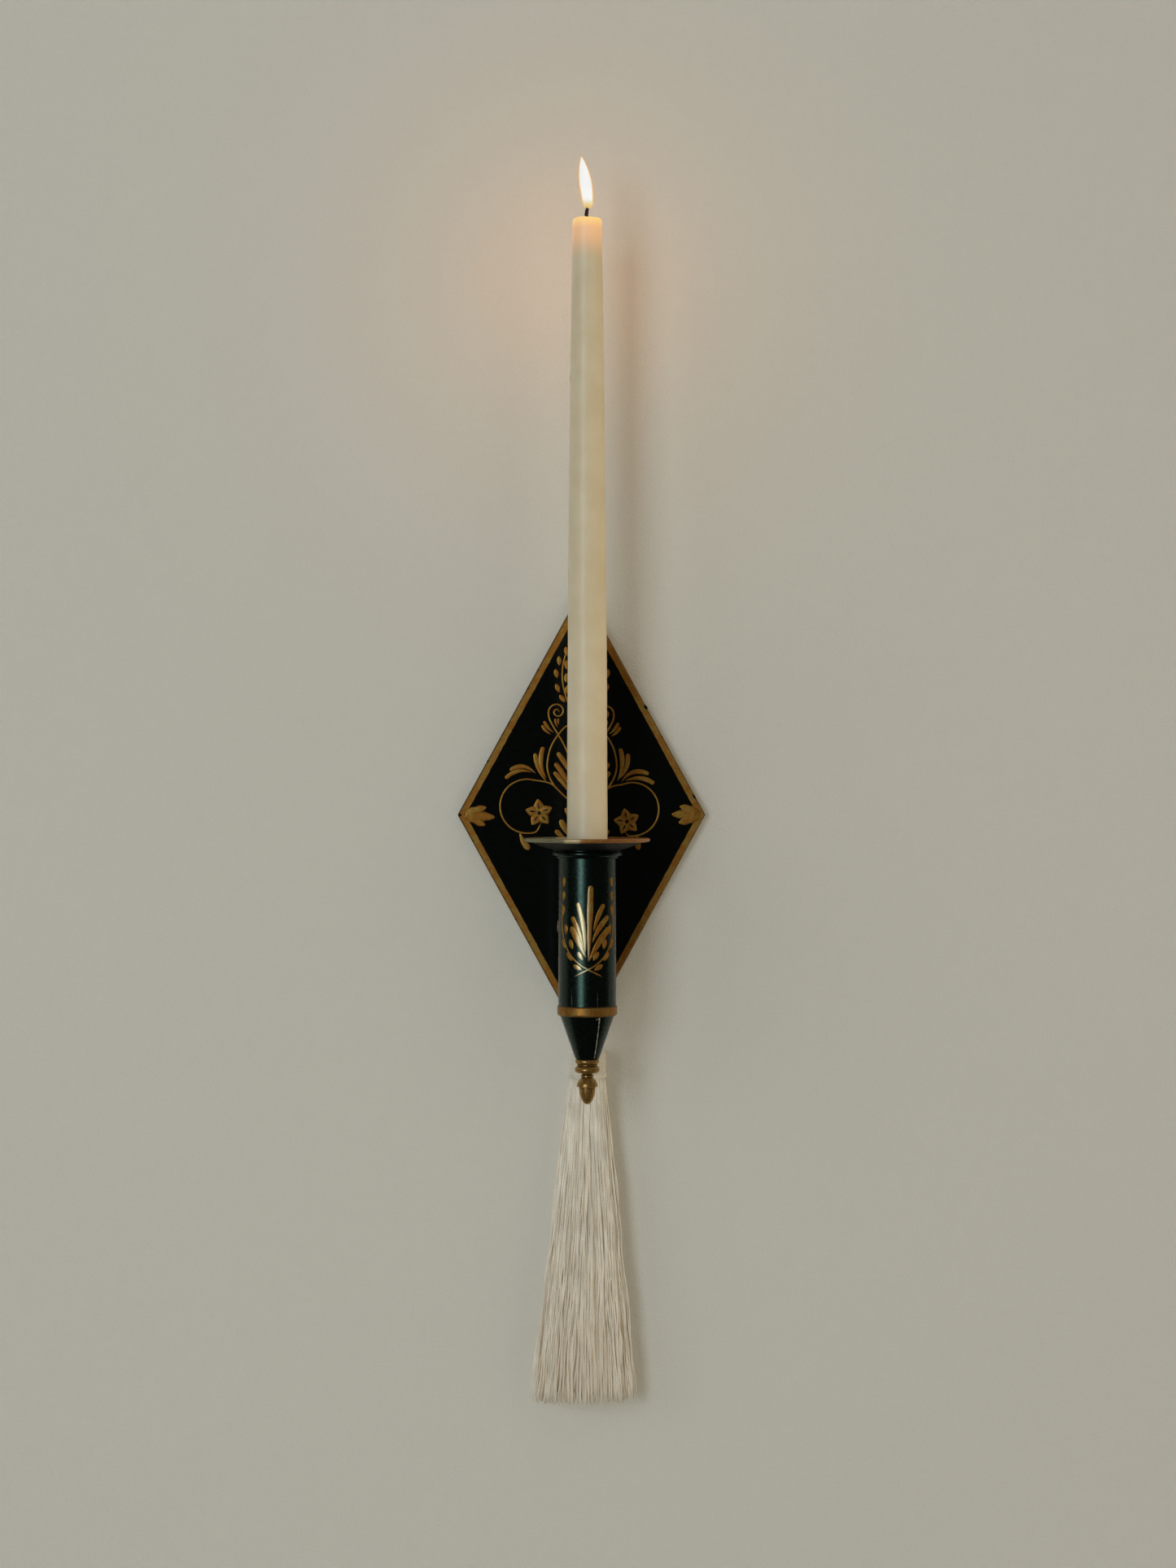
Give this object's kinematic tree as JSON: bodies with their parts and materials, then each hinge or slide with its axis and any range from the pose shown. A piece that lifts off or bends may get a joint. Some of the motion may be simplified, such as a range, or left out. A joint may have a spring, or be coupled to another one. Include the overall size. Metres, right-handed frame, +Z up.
{
  "type": "wall sconce candle holder",
  "caption": "Wall candle sconce: a painted diamond backplate carries a tube on a short arm, with a lift-out drip pan and cup, a taper candle and a hanging thread tassel.",
  "frame": {"origin": "centre of the diamond backplate, on the wall plane that the backplate's rim rests on", "axes": "+Z up along the candle, +Y into the wall, so the sconce stands out towards -Y; +X is to the right of someone facing it"},
  "size_m": [0.1396, 0.0844, 0.6635],
  "materials": {
    "lacquer": "glossy black-green lacquer on sheet metal, with hand-painted bronze-gold ornament",
    "gilt": "worn gold bronze paint on metal",
    "aged_brass": "aged, darkened in the grooves",
    "pan_metal": "worn gold over dark patina with copper and green patches",
    "steel": "dull",
    "wax": "satin ivory wax",
    "wick": "charred braided cotton",
    "tassel_thread": "silky off-white twisted thread"
  },
  "bodies": {
    "sconce": {"backplate": "lacquer", "rosette": "aged_brass", "arm_sleeve": "lacquer", "arm_saddle": "lacquer", "arm_stud": "steel", "back_washer": "steel", "back_nut": "steel", "inner_washer": "steel", "inner_nut": "steel", "sconce_tube": "lacquer", "collar_ring": "lacquer", "gold_band": "gilt", "tail_cone": "lacquer", "bridge_disc": "steel", "tie_rod": "steel", "tie_nut": "steel", "bead_collar": "aged_brass", "acorn_finial": "aged_brass"},
    "insert": {"drip_pan": "pan_metal", "rim_wire": "steel", "candle_cup": "pan_metal", "cup_floor": "pan_metal", "spigot_ring": "pan_metal"},
    "taper": {"candle": "wax", "wick": "wick"},
    "cord": {"tassel_cord": "tassel_thread"},
    "tassel": {"tassel_head": "tassel_thread", "neck_binding": "tassel_thread", "tassel_skirt": "tassel_thread"}
  },
  "joints": [
    {"name": "pan_lift", "type": "slide", "parent": "sconce", "child": "insert", "axis": [0, 0, 1], "range_m": [0, 0.04]},
    {"name": "candle_lift", "type": "slide", "parent": "insert", "child": "taper", "axis": [0, 0, 1], "range_m": [0, 0.045]},
    {"name": "cord_swing", "type": "hinge", "parent": "sconce", "child": "cord", "pos_m": [0, -0.0087, -0.1165], "axis": [0, 1, 0], "range_deg": [-30, 30]},
    {"name": "tassel_swing", "type": "hinge", "parent": "cord", "child": "tassel", "pos_m": [0.0025, -0.0115, -0.1296], "axis": [-1, 0, 0], "range_deg": [0, 20]}
  ]
}
